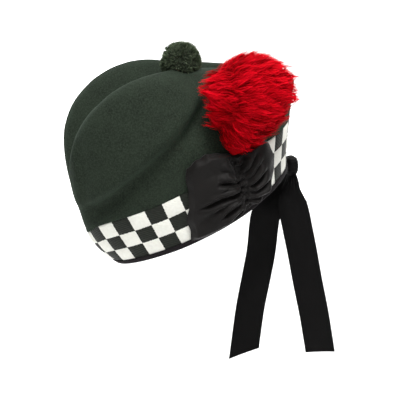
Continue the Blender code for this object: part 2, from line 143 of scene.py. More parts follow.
# Hackle
HACKLE_WIDTH = 82.0
HACKLE_RISE = 42.5
HACKLE_DROP = 61.0
HACKLE_DEPTH = 56.0
HACKLE_LEAN = 17.0
HACKLE_CENTRE = (77.0, 30.5, 138.0)
HACKLE_HEAD = 0.84
HACKLE_ROOT = 0.82
HACKLE_TUFTS = 760
BARBS_PER_TUFT = 26
BARB_STEPS = 3
TUFT_LENGTH = (12, 21)
BARB_WIDTH = (0.6, 1.25)

# Toorie
TOORIE_WIDTH = 41.0
TOORIE_PLACE = 0.60
TOORIE_SIDE = 12.0
TOORIE_LIFT = 7.5
TOORIE_YARNS = 1500
ENDS_PER_YARN = 8
END_STEPS = 2
END_WIDTH = (0.45, 0.8)

# Ribbon
RIBBON_WIDTH = 32.0
RIBBON_THICKNESS = 1.0
KNOT_WIDTH = 26.0
KNOT_DEPTH = 14.0
KNOT_HEIGHT = 22.0
KNOT_ROUNDING = 2.8
TAIL_STEPS = 220
TAIL_LANES = 25
TAIL_LEFT_CUT = 3.7
TAIL_RIGHT_CUT = -18.0

# Ridge line: share along the crown from front to back, share of the crown height
RIDGE_LINE = (
    (0.00, 0.57), (0.02, 0.66), (0.05, 0.755), (0.10, 0.86), (0.18, 0.95), (0.24, 0.985), (0.30, 1.008),
    (0.36, 1.014), (0.42, 1.006), (0.48, 0.985), (0.53, 0.957), (0.56, 0.933), (0.60, 0.892),
    (0.67, 0.85), (0.76, 0.775), (0.85, 0.685), (0.96, 0.57), (1.0, 0.515),
)

# Ridge spread: share along the crown, share of the spread; the toorie is sewn where it narrows
RIDGE_SIDES = (
    (0.0, 0.0), (0.02, 0.26), (0.05, 0.46), (0.10, 0.68), (0.18, 0.88), (0.24, 0.97), (0.30, 1.0),
    (0.38, 1.02), (0.46, 0.97), (0.53, 0.78), (0.60, 0.42), (0.67, 0.36), (0.76, 0.32), (0.85, 0.25),
    (0.96, 0.10), (1.0, 0.0),
)

# Crease: share along the crown, share of the crease depth
CREASE_LINE = (
    (0.0, 0.0), (0.04, 0.45), (0.10, 0.85), (0.2, 1.0), (0.3, 1.0), (0.45, 0.9), (0.6, 0.45),
    (0.7, 0.4), (0.8, 0.4), (0.93, 0.3), (1.0, 0.0),
)

# Wall shape: share of the half round from front to back, outward lean at the foot and below the
# ridge, as shares of the opening width
WALL_LEAN = (
    (0.0, 0.18, -0.05), (0.12, 0.11, 0.05), (0.3, 0.08, 0.22), (0.55, 0.072, 0.276),
    (0.75, 0.076, 0.21), (0.9, 0.079, 0.07), (1.0, 0.079, -0.02),
)

# Rise of the rim towards the back: share of the half round from the front, millimetres
RIM_RISE = ((0.0, 0.0), (0.36, 0.0), (0.5, 2.4), (0.62, 5.6), (0.72, 7.6), (0.84, 7.6), (1.0, 6.0))

# Folds in the felt: side, foot and head of the line as shares of opening length and crown height,
# width and depth in millimetres
FELT_FOLDS = (
    (1.0, -0.44, 0.453, 0.26, 0.74, 16.0, 11.0),
    (1.0, -0.50, 0.36, -0.40, 0.80, 9.0, 4.2),
    (1.0, -0.02, 0.42, 0.18, 0.86, 13.0, 1.2),
    (-1.0, -0.45, 0.42, 0.30, 0.64, 20.0, 3.4),
    (-1.0, 0.10, 0.72, 0.42, 0.45, 18.0, 2.2),
)

# Cockade outline: share of each wing from the gather, foot and head heights as shares of its height
COCKADE_EDGE = (
    (-1.0, 0.02, 1.02), (-0.72, 0.01, 1.05), (-0.45, 0.01, 1.02), (-0.15, 0.02, 0.89), (0.0, 0.03, 0.85),
    (0.4, 0.05, 0.82), (0.75, 0.10, 0.87), (1.0, 0.17, 0.80),
)

# Cockade sides: share of its height, reach of the left and right wings as shares of its width
COCKADE_REACH = (
    (0.0, 0.62, 0.29), (0.35, 0.56, 0.375), (0.6, 0.485, 0.365), (0.8, 0.455, 0.33),
    (0.93, 0.44, 0.29), (1.0, 0.425, 0.26),
)

# Cockade thickness: share of each wing, share of the puff
COCKADE_SWELL = (
    (-1.0, 0.30), (-0.85, 0.72), (-0.5, 0.98), (-0.2, 0.86), (-0.06, 0.42), (0.0, 0.34), (0.07, 0.42),
    (0.25, 0.90), (0.6, 1.0), (0.85, 0.74), (1.0, 0.30),
)

# Cockade creases: distance from the gather and height at both ends, width and depth in millimetres
COCKADE_CREASES = (
    (-3, 36, -29, 49, 1.7, 5.6), (-3, 27, -54, 37, 1.9, 6.4), (-8, 18, -36, 16, 1.7, 5.2),
    (-8, 12, -32, 4, 1.7, 5.2), (-3, 41, -22, 61, 2.2, 3.6), (-2, 45, -11, 67, 2.8, 7.0),
    (-3, 31, -30, 42, 1.2, 2.2), (-3, 23, -42, 26, 1.3, 2.6), (-4, 20, -30, 21, 1.0, 1.8),
    (-3, 33, -20, 41, 1.0, 2.2), (-2, 9, -22, -1, 1.5, 3.2), (-14, 52, -42, 64, 4.0, 1.6),
    (-28, 26, -58, 22, 4.0, 1.4), (6, 28, 27, 36, 1.9, 5.0), (4, 34, 22, 48, 1.9, 3.4),
    (3, 40, 17, 58, 1.9, 4.2), (1, 46, 6, 67, 2.2, 4.4), (5, 22, 32, 24, 1.7, 3.6),
    (5, 16, 32, 12, 1.7, 4.0), (3, 10, 22, 4, 1.7, 3.4), (-20, 60, -34, 73, 3.0, 1.4),
)

# Small pits along the gather: distance from it, height, width and depth in millimetres
GATHER_PITS = (
    (-1.5, 44, 2.0, 3.4), (1.8, 38, 1.6, 2.6), (-1.8, 32, 1.7, 2.8), (1.5, 25, 1.5, 2.4),
    (-0.5, 18, 2.0, 4.2), (2.2, 12, 1.6, 3.4), (-2.4, 9, 1.8, 3.8), (0.5, 51, 1.7, 2.4),
)

# Tails: share of the length, side, back and up of the middle line from below the knot, turn of the
# width about the upright
TAIL_LEFT = (
    (0.00, 5.5, 0.0, 3.5, 8.0), (0.045, 10.0, -1.3, -8.5, 24.0), (0.10, 10.5, -2.0, -20.0, 52.0),
    (0.24, 9.0, 3.6, -47.0, 76.0), (0.42, 8.0, 11.8, -82.5, 78.0), (0.58, 9.0, 17.6, -112.5, 74.0),
    (0.80, 10.0, 27.0, -157.0, 76.0), (1.00, 10.0, 34.7, -199.0, 72.0),
)
TAIL_RIGHT = (
    (0.00, -5.5, 0.0, 3.5, -6.0), (0.045, -10.5, -1.8, -9.0, 8.0), (0.10, -13.0, -6.6, -21.0, 34.0),
    (0.24, -20.0, -21.9, -50.0, 70.0), (0.42, -25.5, -23.8, -87.0, 78.0),
    (0.56, -28.5, -27.9, -117.0, 75.0), (0.76, -33.0, -33.9, -158.5, 78.0),
    (1.00, -35.0, -39.8, -211.0, 73.0),
)

# Camera: the photograph's frame is FRAME_WIDTH across at the head opening
CAMERA_TURN = 14.0
CAMERA_RISE = 14.0
CAMERA_AWAY = 1.2
FRAME_WIDTH = 0.4202
FRAME_RIGHT = 0.0001
FRAME_UP = 0.0176
SENSOR = 36.0

# Lamps: name, place in metres, size and watts
LAMPS = (
    ("key", (0.9, -0.1, 2.0), 0.8, 64.0),
    ("fill", (1.9, 0.5, 0.7), 1.4, 4.0),
    ("back", (-1.0, 0.7, 1.8), 1.0, 16.0),
)
LAMP_AIM = (0.0, 0.0, 0.05)
WORLD_STRENGTH = 0.34
FLOOR_BELOW = 0.25
FLOOR_HALF = 6
CARD_AWAY = -1.6
CARD_HALF = 4
CARD_HEIGHT = 3


# Smooth curve through the rows of a table, without overshoot
def table(rows, at, column=1):
    xs = np.array([row[0] for row in rows], float)
    ys = np.array([row[column] for row in rows], float)
    slope = np.diff(ys) / np.diff(xs)
    inner = np.zeros(len(slope) - 1)
    for i in range(len(inner)):
        if slope[i] * slope[i + 1] > 0:
            inner[i] = 2 * slope[i] * slope[i + 1] / (slope[i] + slope[i + 1])
    m = np.concatenate([[slope[0]], inner, [slope[-1]]])
    t = np.clip(np.asarray(at, float), xs[0], xs[-1])
    i = np.clip(np.searchsorted(xs, t, side="right") - 1, 0, len(xs) - 2)
    h = xs[i + 1] - xs[i]
    k = (t - xs[i]) / h
    a = (2 * k**3 - 3 * k**2 + 1) * ys[i] + (k**3 - 2 * k**2 + k) * h * m[i]
    b = (-2 * k**3 + 3 * k**2) * ys[i + 1] + (k**3 - k**2) * h * m[i + 1]
    return a + b


# Smooth step from 0 to 1
def ease(value):
    t = np.clip(value, 0.0, 1.0)
    return t * t * (3 - 2 * t)


# Plan of the opening: side and back for a share of the half round
def rim(u):
    c = -math.cos(math.pi * u)
    width = OPENING_WIDTH * 0.518 * math.sin(math.pi * u) * (0.92 + NOSE_TAPER * c)
    if c > 0:
        c = c - BACK_POINT * (c**3 - c**5)
    else:
        c = c * (1 - NOSE_CUT * c**4)
    return width, OPENING_LENGTH / 2 * c


# One line of felt from the opening up to the crease; the wall and the top come apart
def rib(u, wall_steps=80, top_steps=30):
    side, back = rim(u)
    share = (1 - math.cos(math.pi * u)) / 2
    ridge_side = RIDGE_SPREAD / 2 * float(table(RIDGE_SIDES, share))
    ridge_back = CROWN_SHIFT + CROWN_LENGTH * (share - 0.5)
    ridge_up = CROWN_HEIGHT * float(table(RIDGE_LINE, share))
    ahead, behind = rim(u + 0.001), rim(u - 0.001)
    along = np.array([ahead[0] - behind[0], ahead[1] - behind[1]])
    along = along / np.linalg.norm(along)
    out = np.array([along[1], -along[0], 0.0])
    foot = OPENING_WIDTH * float(table(WALL_LEAN, u, 1))
    head = OPENING_WIDTH * float(table(WALL_LEAN, u, 2))
    p0 = np.array([side, back, float(table(RIM_RISE, u)) - RIM_LOW])
    p3 = np.array([ridge_side, ridge_back, ridge_up])
    p1 = p0 + out * foot + np.array([0.0, 0.0, ridge_up * WALL_STEEPNESS])
    p2 = p3 + out * head - np.array([0.0, 0.0, ridge_up * WALL_SHOULDER])
    t = np.linspace(0, 1, wall_steps)[:, None]
    wall = (1 - t)**3 * p0 + 3 * (1 - t)**2 * t * p1 + 3 * (1 - t) * t**2 * p2 + t**3 * p3
    q = np.linspace(0, 1, top_steps)[:, None]
    drop = CREASE_DEPTH * float(table(CREASE_LINE, share)) * (0.3 * q**2 + 0.7 * np.sin(math.pi * q / 2)**2)
    top = np.concatenate([ridge_side * (1 - q), np.full_like(q, ridge_back), ridge_up - drop], axis=1)
    return wall, top


# Points at given distances up the wall; below the foot the line runs on straight
def up_the_wall(wall, heights):
    step = np.linalg.norm(np.diff(wall, axis=0), axis=1)
    run = np.concatenate([[0.0], np.cumsum(step)])
    heights = np.asarray(heights, float)
    points = np.stack([np.interp(heights, run, wall[:, k]) for k in range(3)], axis=-1)
    below = np.minimum(heights, 0.0)[..., None]
    return points + below * (wall[1] - wall[0]) / step[0]


# Tilt of the hat as it is worn
def worn(points):
    a = math.radians(WORN_PITCH)
    p = np.asarray(points, float)
    back = p[..., 1] * math.cos(a) - p[..., 2] * math.sin(a)
    up = p[..., 1] * math.sin(a) + p[..., 2] * math.cos(a)
    return np.stack([p[..., 0], back, up], axis=-1)


# Rows of points as unit vectors
def unit(vectors):
    return vectors / np.maximum(np.linalg.norm(vectors, axis=-1), 1e-9)[..., None]


# Half round of the band at its middle height, front to back on the left
BAND_SHARES = np.linspace(0, 1, 181)
band_line = np.array([up_the_wall(rib(u)[0], BAND_HEIGHT / 2) for u in BAND_SHARES])
BAND_RUN = np.concatenate([[0.0], np.cumsum(np.linalg.norm(np.diff(band_line, axis=0), axis=1))])
HALF_ROUND = BAND_RUN[-1]


# Signed share of the half round for a distance round the band from the front, left is plus
def share_at(distance):
    distance = (np.asarray(distance, float) + HALF_ROUND) % (2 * HALF_ROUND) - HALF_ROUND
    return np.sign(distance) * np.interp(np.abs(distance), BAND_RUN, BAND_SHARES)


# Places round the whole band, front first, then the wearer's left, the back and the right
def round_places(count):
    return share_at(np.arange(count) * 2 * HALF_ROUND / count)


# The felt hangs lower over the band at the nose, by this much at each place
def nose_dip(places):
    return NOSE_DIP * np.exp(-(np.asarray(places) / NOSE_DIP_REACH)**2)


# A line of the left side, mirrored where the place is on the right
def on_its_side(line, place):
    return line * np.array([-1.0 if place < 0 else 1.0, 1.0, 1.0])


# Wall points for places all round and heights up the wall, one row of heights for all or for each
def wall_points(places, heights):
    rows = np.broadcast_to(np.asarray(heights, float), (len(places), np.shape(heights)[-1]))
    lines = [up_the_wall(rib(abs(place))[0], row) for place, row in zip(places, rows)]
    return np.array([on_its_side(line, place) for line, place in zip(lines, places)])


# Outward directions of a grid that runs round (first axis) and up (second axis)
def grid_normals(points, closed=True):
    if closed:
        round_way = np.roll(points, -1, axis=0) - np.roll(points, 1, axis=0)
    else:
        round_way = np.gradient(points, axis=0)
    return unit(np.cross(round_way, np.gradient(points, axis=1)))


# The left wall as a fine chart, to lay trimmings on it
CHART_STEP = 1.5
chart_distances = np.arange(HALF_ROUND * 0.25, HALF_ROUND * 1.25, CHART_STEP)
chart_heights = np.arange(-6.0, 130.0, CHART_STEP)
chart_points = wall_points(share_at(chart_distances), chart_heights)
chart_normals = grid_normals(chart_points, closed=False)


# Point and outward direction on the wall for a distance round and a height up it
def on_wall(distance, height):
    i = np.clip((distance - chart_distances[0]) / CHART_STEP, 0, len(chart_distances) - 1.001)
    j = np.clip((height - chart_heights[0]) / CHART_STEP, 0, len(chart_heights) - 1.001)
    i0 = i.astype(int)
    j0 = j.astype(int)
    fi = (i - i0)[..., None]
    fj = (j - j0)[..., None]
    result = []
    for chart in (chart_points, chart_normals):
        low = chart[i0, j0] * (1 - fi) + chart[i0 + 1, j0] * fi
        high = chart[i0, j0 + 1] * (1 - fi) + chart[i0 + 1, j0 + 1] * fi
        result.append(low * (1 - fj) + high * fj)
    return result[0], unit(result[1])


# Smooth random wander over arrays of coordinates, from a few seeded waves
def wander(seed, *coordinates, waves=7):
    rng = np.random.default_rng(SEED + seed)
    total = np.zeros_like(coordinates[0], dtype=float)
    for _ in range(waves):
        phase = rng.uniform(0, 2 * math.pi)
        for coordinate in coordinates:
            phase = phase + rng.normal(0, 1.0) * coordinate
        total = total + np.sin(phase)
    return total / math.sqrt(waves)


# sRGB hex to linear colour
def linear(hex_colour):
    values = [int(hex_colour[i:i + 2], 16) / 255 for i in (1, 3, 5)]
    return tuple(v / 12.92 if v <= 0.04045 else ((v + 0.055) / 1.055)**2.4 for v in values) + (1.0,)


# Adds a node with its settings and its links or values by input name; i0, i1 are inputs by number
def add(tree, kind, settings=None, **inputs):
    node = tree.nodes.new(kind)
    for key, value in (settings or {}).items():
        setattr(node, key, value)
    for key, value in inputs.items():
        name = key.replace("_", " ")
        socket = node.inputs[int(key[1:])] if key[0] == "i" and key[1:].isdigit() else node.inputs[name]
        if isinstance(value, bpy.types.NodeSocket):
            tree.links.new(value, socket)
        else:
            socket.default_value = value
    return node


# New material with its shader's plain values, set straight on the sockets
def start_material(name, **values):
    material = bpy.data.materials.new(name)
    material.use_nodes = True
    tree = material.node_tree
    shader = tree.nodes["Principled BSDF"]
    for key, value in values.items():
        shader.inputs[key.replace("_", " ")].default_value = value
    return material, tree, shader


# Colour between two hex colours by a factor socket
def blend_colours(tree, factor, first, second):
    node = tree.nodes.new("ShaderNodeMix")
    node.data_type = "RGBA"
    tree.links.new(factor, node.inputs[0])
    for socket, colour in ((node.inputs[6], first), (node.inputs[7], second)):
        if isinstance(colour, bpy.types.NodeSocket):
            tree.links.new(colour, socket)
        else:
            socket.default_value = linear(colour)
    return node.outputs[2]


# Two bumps, one over the other, each a height, a strength and a depth in metres
def add_bumps(tree, shader, first, second):
    low = add(tree, "ShaderNodeBump", Height=first[0], Strength=first[1], Distance=first[2])
    high = add(tree, "ShaderNodeBump", Height=second[0], Strength=second[1], Distance=second[2])
    tree.links.new(low.outputs[0], high.inputs["Normal"])
    tree.links.new(high.outputs[0], shader.inputs["Normal"])


# Mesh from millimetre points and faces of one size, placed in the frame, attached to the root body, with the
# model's part it stands for hidden
def make_piece(name, points, faces, material, node, uv=None, tone_and_painted_shading=None):
    faces = np.asarray(faces, int)
    mesh = bpy.data.meshes.new(name)
    mesh.vertices.add(len(points))
    mesh.vertices.foreach_set("co", (np.asarray(points, float) * MM).ravel())
    mesh.loops.add(faces.size)
    mesh.loops.foreach_set("vertex_index", faces.ravel())
    mesh.polygons.add(len(faces))
    mesh.polygons.foreach_set("loop_start", np.arange(len(faces)) * faces.shape[1])
    mesh.update(calc_edges=True)
    if uv is not None:
        layer = mesh.uv_layers.new(name="cloth")
        layer.data.foreach_set("uv", np.asarray(uv, float).reshape(faces.size, 2).ravel())
    # Per point value for the fibre colours: random tone mixed with painted shade and painted light
    if tone_and_painted_shading is not None:
        layer = mesh.attributes.new("tone_and_painted_shading", "FLOAT", "POINT")
        layer.data.foreach_set("value", np.asarray(tone_and_painted_shading, float))
    mesh.validate()
    mesh.polygons.foreach_set("use_smooth", [True] * len(mesh.polygons))
    mesh.materials.append(material)
    piece = bpy.data.objects.new(name, mesh)
    bpy.context.scene.collection.objects.link(piece)
    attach(piece, "root")
    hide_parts(node)
    return piece


# Quads of a grid, first axis by second axis
def grid_quads(first, second, start=0, close_first=False, close_second=False):
    a = np.arange(first if close_first else first - 1)[:, None]
    b = np.arange(second if close_second else second - 1)[None, :]
    a2 = (a + 1) % first
    b2 = (b + 1) % second
    quads = np.stack([a * second + b, a2 * second + b, a2 * second + b2, a * second + b2], axis=-1)
    return start + quads.reshape(-1, 4)


# Station and corner of the points of each face on a grid closed all round; the last faces run on to a
# station past the last one, so that a pattern doesn't run back there
def face_places(faces, stations, count):
    station, corner = faces // count, faces % count
    last = station.max(axis=1, keepdims=True) == stations - 1
    return np.where(last & (station == 0), stations, station), corner


# Felt folds as a push along the wall's outward direction
def fold_push(points, side):
    push = np.zeros(points.shape[:-1])
    for fold_side, foot_back, foot_up, head_back, head_up, width, depth in FELT_FOLDS:
        if fold_side != side:
            continue
        start = np.array([foot_back * OPENING_LENGTH, foot_up * CROWN_HEIGHT])
        end = np.array([head_back * OPENING_LENGTH, head_up * CROWN_HEIGHT])
        length = np.linalg.norm(end - start)
        along = (end - start) / length
        across = np.array([-along[1], along[0]])
        flat = points[..., 1:3] - start
        t = (flat @ along) / length
        d = (flat @ across) / width
        fade = ease((1.35 - np.abs(t - 0.5) * 2) / 0.35)
        push = push + depth * fade * np.tanh(d / 0.34) * np.exp(-np.abs(d) / 1.15)
    return push


# Texture scale for a pattern with features of so many millimetres
def scale_of(size):
    return 1 / (size * MM)


# Noise with features of so many millimetres
def noise(tree, place, size, detail, roughness=0.5):
    scale = scale_of(size)
    return add(tree, "ShaderNodeTexNoise", Vector=place, Scale=scale, Detail=detail, Roughness=roughness)


# Felted wool: fulled twill nap, matt, with a soft pale bloom where it turns away. Clouds of 18 mm make
# the green uneven; flecks and nap stand for fibres far too fine to show, so they are drawn coarser
def felted_wool():
    material, tree, shader = start_material(
        "felted_wool_bottle_green", Roughness=0.95, Sheen_Weight=0.10, Sheen_Roughness=0.5, IOR=1.5,
        Sheen_Tint=linear("#6f9077"), Specular_IOR_Level=0.12,
    )
    place = add(tree, "ShaderNodeTexCoord").outputs["Object"]
    cloudy = noise(tree, place, 18.18, 3.0, 0.6)
    flecks = noise(tree, place, 1.5625, 3.0, 0.7)
    nap = noise(tree, place, 0.7692, 2.0, 0.7)
    soft = add(tree, "ShaderNodeMapRange", Value=cloudy.outputs[0], From_Min=0.35, From_Max=0.65)
    sharp = add(tree, "ShaderNodeMapRange", Value=flecks.outputs[0], From_Min=0.38, From_Max=0.66)
    base = blend_colours(tree, soft.outputs[0], "#171c16", "#1e251d")
    base = blend_colours(tree, sharp.outputs[0], base, "#293228")
    tree.links.new(base, shader.inputs["Base Color"])
    add_bumps(tree, shader, (flecks.outputs[0], 0.35, 0.0012), (nap.outputs[0], 0.5, 0.0005))
    return material


# Diced wool: knitted white and dark green squares, each a little proud of its seams, with fuzzy edges
# and slanting stitches 3.7 mm apart; fuzz and stitches are drawn coarser than real ones, so that they show
def diced_wool():
    material, tree, shader = start_material(
        "diced_wool_white_and_green", Roughness=0.92, Sheen_Weight=0.15, Sheen_Roughness=0.5,
        Specular_IOR_Level=0.15,
    )
    place = add(tree, "ShaderNodeTexCoord").outputs
    fuzz = noise(tree, place["Object"], 1.4286, 2.0)
    shift = add(
        tree, "ShaderNodeVectorMath", {"operation": "MULTIPLY_ADD"},
        i0=fuzz.outputs["Color"], i1=(0.07, 0.07, 0), i2=place["UV"],
    )
    squares = add(tree, "ShaderNodeTexChecker", Vector=shift.outputs[0], Scale=1.0)
    squares.inputs["Color1"].default_value = (1, 1, 1, 1)
    squares.inputs["Color2"].default_value = (0, 0, 0, 1)
    stitches = add(
        tree, "ShaderNodeTexWave", {"bands_direction": "DIAGONAL"},
        Vector=place["UV"], Scale=STITCH_SCALE, Distortion=1.2, Detail=1.0,
    )
    mottle = noise(tree, place["Object"], 3.03, 3.0)
    pale = blend_colours(tree, mottle.outputs[0], "#d6d6cc", "#e9e9e2")
    dark = blend_colours(tree, mottle.outputs[0], "#131511", "#22261f")
    tree.links.new(blend_colours(tree, squares.outputs["Fac"], dark, pale), shader.inputs["Base Color"])
    add_bumps(tree, shader, (stitches.outputs[0], 0.35, 0.0006), (fuzz.outputs[0], 0.4, 0.0005))
    return material


# Ribbed ribbon: fine weft ribs across its width, rib_pitch millimetres apart, and a low silky gloss;
# its threads are drawn coarser than real ones, so that they show
def ribbed_ribbon(name, dark, light, roughness, rib_pitch, sheen, gloss):
    material, tree, shader = start_material(
        name, Roughness=roughness, Sheen_Weight=sheen, Sheen_Roughness=0.4, Specular_IOR_Level=gloss
    )
    place = add(tree, "ShaderNodeTexCoord").outputs
    ribs = add(
        tree, "ShaderNodeTexWave", {"bands_direction": "Y"},
        Vector=place["UV"], Scale=WAVE_PERIOD * scale_of(rib_pitch), Distortion=0.6,
    )
    threads = noise(tree, place["Object"], 1.1111, 2.0)
    cloudy = noise(tree, place["Object"], 16.667, 3.0)
    tree.links.new(blend_colours(tree, cloudy.outputs[0], dark, light), shader.inputs["Base Color"])
    add_bumps(tree, shader, (ribs.outputs[0], 0.25, 0.0003), (threads.outputs[0], 0.25, 0.0003))
    return material


# Dyed fibres: each barb or yarn end has its own random tone, with painted shade darkening it towards its root
def dyed_fibre_painted_shading(name, dark, middle, bright, roughness, sheen):
    material, tree, shader = start_material(
        name, Roughness=roughness, Sheen_Weight=sheen, Sheen_Roughness=0.4, Specular_IOR_Level=0.04
    )
    # The value mixes random tone with painted shade, low at roots and cores, and on the toorie painted light
    # on ends that point up
    tone_and_painted_shading = add(tree, "ShaderNodeAttribute", {"attribute_name": "tone_and_painted_shading"}).outputs["Fac"]
    low = add(tree, "ShaderNodeMapRange", Value=tone_and_painted_shading, From_Min=0.0, From_Max=0.5)
    high = add(tree, "ShaderNodeMapRange", Value=tone_and_painted_shading, From_Min=0.5, From_Max=1.0)
    colour = blend_colours(tree, low.outputs[0], dark, middle)
    tree.links.new(blend_colours(tree, high.outputs[0], colour, bright), shader.inputs["Base Color"])
    return material


# Leans the crown's columns to the left, before they are tilted as worn
def lean_crown(columns):
    columns[..., 2] -= CROWN_ROLL * columns[..., 0] * ease((columns[..., 2] - ROLL_FOOT) / ROLL_FADE)


# Outward directions of the crown's columns; in the crease, where both sides meet, they point up
def crown_normals(columns):
    normals = grid_normals(columns)
    crease = (np.abs(columns[..., 0]) < CREASE_NARROW) & (columns[..., 2] > CREASE_FROM)
    normals[crease] = np.array([0.0, 0.0, 1.0])
    return normals


# Crown of one felt skin, with its edge turned in above the band
def build_crown(material):
    start = BAND_HEIGHT + RIM_LOW + GAP
    places = round_places(CROWN_STATIONS)
    share = np.linspace(0, 1, CROWN_WALL_ROWS + 1)
    q = np.linspace(0, 1, CROWN_TOP_ROWS + 1)[1:]
    columns = []
    for place in places:
        wall, top = rib(abs(place))
        length = np.linalg.norm(np.diff(wall, axis=0), axis=1).sum()
        foot = start - nose_dip(place)
        here = up_the_wall(wall, foot + (length - foot) * share)
        old = np.linspace(0, 1, len(top))
        crest = np.stack([np.interp(q, old, top[:, k]) for k in range(3)], axis=-1)
        columns.append(on_its_side(np.concatenate([here, crest]), place))
    columns = np.array(columns)
    lean_crown(columns)
    normals = grid_normals(columns)
    fade = ease(share * 6) * ease((1 - share) * 6)
    ends = np.minimum(1.0, 1.7 * np.sin(math.pi * np.abs(places)))[:, None]
    side = np.where(places >= 0, 1.0, -1.0)
    wall = columns[:, :CROWN_WALL_ROWS + 1]
    left = fold_push(wall, 1.0) * (side > 0)[:, None]
    right = fold_push(wall, -1.0) * (side < 0)[:, None]
    ripple = 0.5 * wander(1, wall[..., 0] / 30, wall[..., 1] / 26, wall[..., 2] / 30) * ends
    hang = NOSE_HANG * nose_dip(places)[:, None] * ease(1 - share * 9)
    push = ((left + right) * ends + ripple) * fade + hang
    columns[:, :CROWN_WALL_ROWS + 1] += normals[:, :CROWN_WALL_ROWS + 1] * push[..., None]
    normals = crown_normals(columns)
    edge = np.linspace(0, math.pi, 7)[1:-1]
    turned = [columns[:, 0] - normals[:, 0] * FELT / 2 * (1 - math.cos(a)) for a in edge]
    low = unit(columns[:, 0] - columns[:, 1])
    turned = np.stack(turned, axis=1) + low[:, None, :] * 0.1 * np.sin(edge)[None, :, None]
    inner = columns - normals * FELT
    grid = np.concatenate([inner[:, ::-1], turned[:, ::-1], columns], axis=1)
    faces = grid_quads(CROWN_STATIONS, grid.shape[1], close_first=True)
    return make_piece("crown_felt", worn(grid).reshape(-1, 3), faces, material, "crown")


# Diced band with each square a little puffed between its seams; the pattern stops just short of its
# upper end, so that the turned edge keeps the top row's colours
def build_band(material, backing):
    low = RIM_LOW + BINDING_THICKNESS + GAP
    high = RIM_LOW + BAND_HEIGHT
    foot = RIM_LOW + BINDING_SHOWN - 0.5
    stations = CHECK_COLUMNS * CHECK_STEPS
    start = CHECK_START * 2 * HALF_ROUND / CHECK_COLUMNS
    places = share_at(start + np.arange(stations) * 2 * HALF_ROUND / stations)
    heights = np.concatenate([[low], np.linspace(foot, high, CHECK_ROWS * CHECK_ROW_STEPS + 1)])
    squeeze = 1 - nose_dip(places) / (high - low)
    wall = wall_points(places, low + (heights[None, :] - low) * squeeze[:, None])
    normals = grid_normals(wall)
    across = (np.arange(stations) % CHECK_STEPS) / CHECK_STEPS
    level = np.clip((heights - foot) / (high - foot) * CHECK_ROWS, 0, CHECK_ROWS)
    column = np.arange(stations) // CHECK_STEPS
    row = np.minimum(level.astype(int), CHECK_ROWS - 1)
    white = ((column[:, None] + row[None, :]) % 2 == 1) * 1.0
    side_dome = 1 - np.abs(2 * across - 1)**SEAM_ROUND
    dome = side_dome[:, None] * (1 - np.abs(2 * (level - row) - 1)**SEAM_ROUND)[None, :]
    puff = CHECK_PUFF * dome * (DARK_PUFF + (1 - DARK_PUFF) * white) - SEAM_SINK * (1 - dome)
    outer = wall + normals * puff[..., None]
    inner = wall - normals * FELT
    upward = unit(wall[:, -1:] - wall[:, -2:-1])
    round_edge = (wall[:, -1:] - normals[:, -1:] * FELT / 2) + upward * 0.05
    grid = np.concatenate([outer, round_edge, inner[:, ::-1]], axis=1)
    count = grid.shape[1]
    faces = grid_quads(stations, count, close_first=True, close_second=True)
    v = np.clip(np.concatenate([level, [CHECK_ROWS], level[::-1]]), 0.0, CHECK_ROWS - 0.09)
    station, corner = face_places(faces, stations, count)
    uv = np.stack([station / CHECK_STEPS, v[corner]], axis=-1)
    piece = make_piece("band_diced", worn(grid).reshape(-1, 3), faces, material, "diced_band", uv=uv)
    piece.data.materials.append(backing)
    first, last = corner.min(axis=1), corner.max(axis=1)
    inside = (first > len(heights)) | ((first == 0) & (last == count - 1))
    piece.data.polygons.foreach_set("material_index", inside.astype(np.int32))
    return piece


# Section of the binding as heights and distances off the wall: the ribbon's outer face with a stitched
# groove near its upper edge, round the lower edge and up inside, then its inner face back
def binding_section():
    high = RIM_LOW + BINDING_SHOWN
    turn = RIM_LOW + BINDING_BEND
    inmost = RIM_LOW + BINDING_THICKNESS + 0.2
    t = BINDING_THICKNESS
    near = GAP
    far = -FELT - GAP
    middle = (near + far) / 2
    half = (near - far) / 2 + t
    section = [(high - 0.15, near + t * 0.7), (high - 0.9, near + t), (high - 2.2, near + t * 0.78)]
    section += [(h, near + t) for h in np.linspace(high - 3.2, turn, 4)]
    bend = np.linspace(0, math.pi, 9)[1:-1]
    section += [(turn - BINDING_BEND * math.sin(a), middle + half * math.cos(a)) for a in bend]
    section += [(h, far - t) for h in np.linspace(turn, high - 0.4, 5)]
    section += [(h, far) for h in np.linspace(high, inmost, 4)]
    section += [(h, near) for h in np.linspace(inmost, high, 4)]
    return np.array(section)


# Ribbon folded over the lower edge; its upper edge waves a little between the stitches
def build_binding(material):
    section = binding_section()
    count = len(section)
    places = round_places(BINDING_STATIONS)
    base = wall_points(places, [2.0, 4.0])
    round_way = np.roll(base, -1, axis=0) - np.roll(base, 1, axis=0)
    sideways = unit(np.cross(round_way, base[:, 1:] - base[:, :1]))[:, 0]
    wave = STITCH_WAVE * wander(3, np.arange(BINDING_STATIONS) * 2 * math.pi / BINDING_STATIONS * 5)
    off = section[None, :, 1] + wave[:, None] * (np.arange(count) < 3)[None, :]
    spots = wall_points(places, section[:, 0]) + sideways[:, None, :] * off[..., None]
    faces = grid_quads(BINDING_STATIONS, count, close_first=True, close_second=True)
    station, corner = face_places(faces, BINDING_STATIONS, count)
    uv = np.stack([corner * 1.2, station * 2 * HALF_ROUND / BINDING_STATIONS], axis=-1) * MM
    return make_piece("binding_ribbon", worn(spots).reshape(-1, 3), faces, material, "rim_binding", uv=uv)


